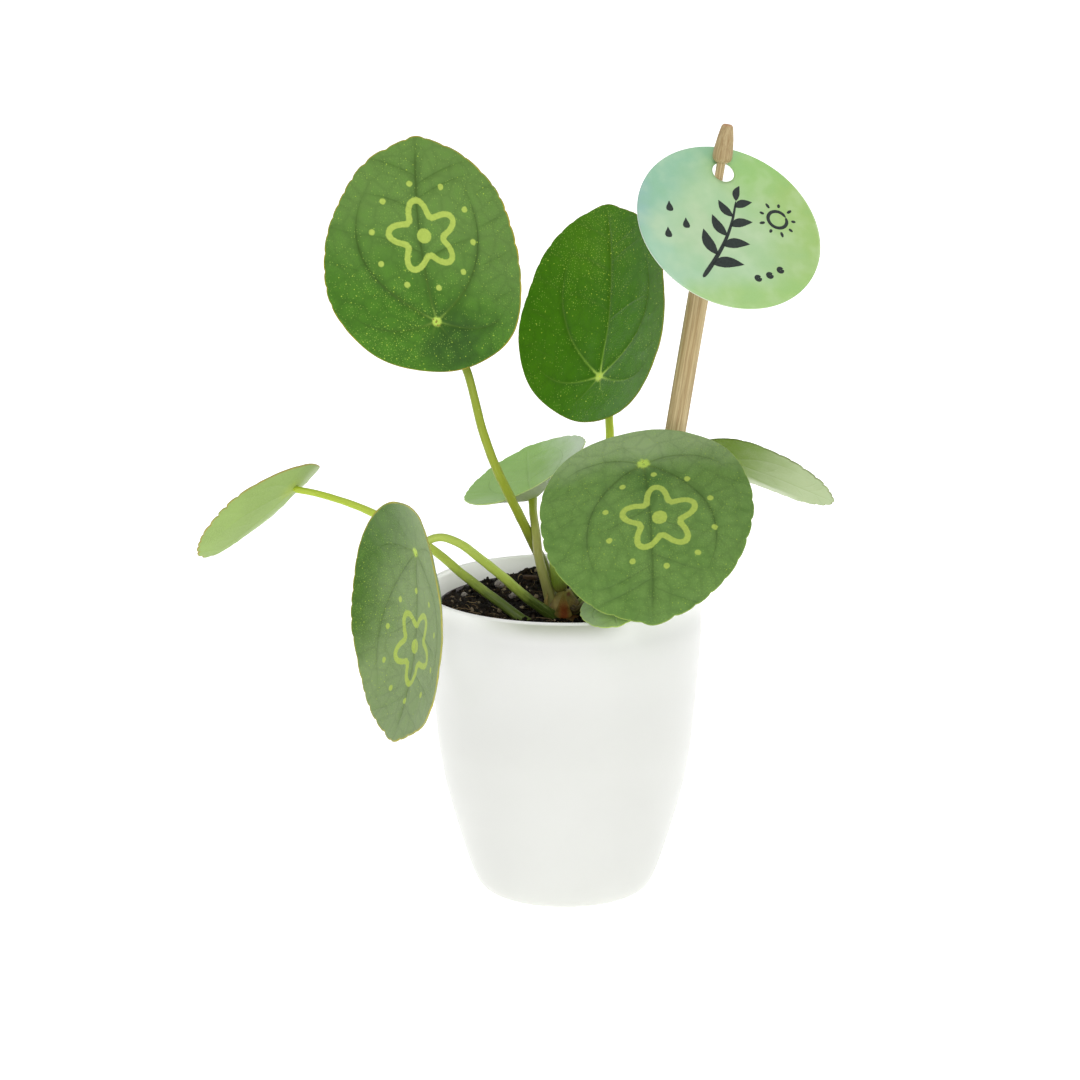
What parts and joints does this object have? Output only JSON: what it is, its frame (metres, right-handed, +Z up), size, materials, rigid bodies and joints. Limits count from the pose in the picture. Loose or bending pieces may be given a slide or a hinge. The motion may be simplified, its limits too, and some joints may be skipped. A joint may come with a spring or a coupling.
{
  "type": "potted pilea plant",
  "caption": "Young pilea with round leaves on long stalks, in a small grower's pot inside a smooth white cover pot, with a round care card hung on a turned wooden stick.",
  "frame": {"origin": "centre of the cover pot's flat bottom", "axes": "+Z up along the pot's axis, -Y to the front, +X to the right as the picture shows it"},
  "size_m": [0.1636, 0.0892, 0.1976],
  "materials": {
    "cover_pot": "satin",
    "nursery_pot": "matte",
    "soil": "matte",
    "stem": "matte",
    "leaf": "satin",
    "petiole": "satin",
    "stipule": "matte",
    "stick": "matte",
    "tag": "matte",
    "perlite": "matte",
    "bark": "matte"
  },
  "bodies": {
    "root": {"cover_pot": "cover_pot", "nursery_pot": "nursery_pot", "potting_soil": "soil", "main_stem": "stem", "leaf_top_left": "leaf", "petiole_top_left": "petiole", "leaf_top_middle": "leaf", "petiole_top_middle": "petiole", "leaf_front_right": "leaf", "petiole_front_right": "petiole", "leaf_left_hanging": "leaf", "petiole_left_hanging": "petiole", "leaf_far_left": "leaf", "petiole_far_left": "petiole", "leaf_middle_back": "leaf", "petiole_middle_back": "petiole", "leaf_right_back": "leaf", "petiole_right_back": "petiole", "leaf_front_small": "leaf", "petiole_front_small": "petiole", "stipule_1": "stipule", "stipule_2": "stipule", "shoot_bud": "petiole", "tag_stick": "stick", "care_tag": "tag", "perlite_1": "perlite", "perlite_2": "perlite", "perlite_3": "perlite", "perlite_4": "perlite", "perlite_5": "perlite", "perlite_6": "perlite", "perlite_7": "perlite", "bark_chip_1": "bark", "bark_chip_2": "bark", "bark_chip_3": "bark", "bark_chip_4": "bark"}
  },
  "joints": []
}
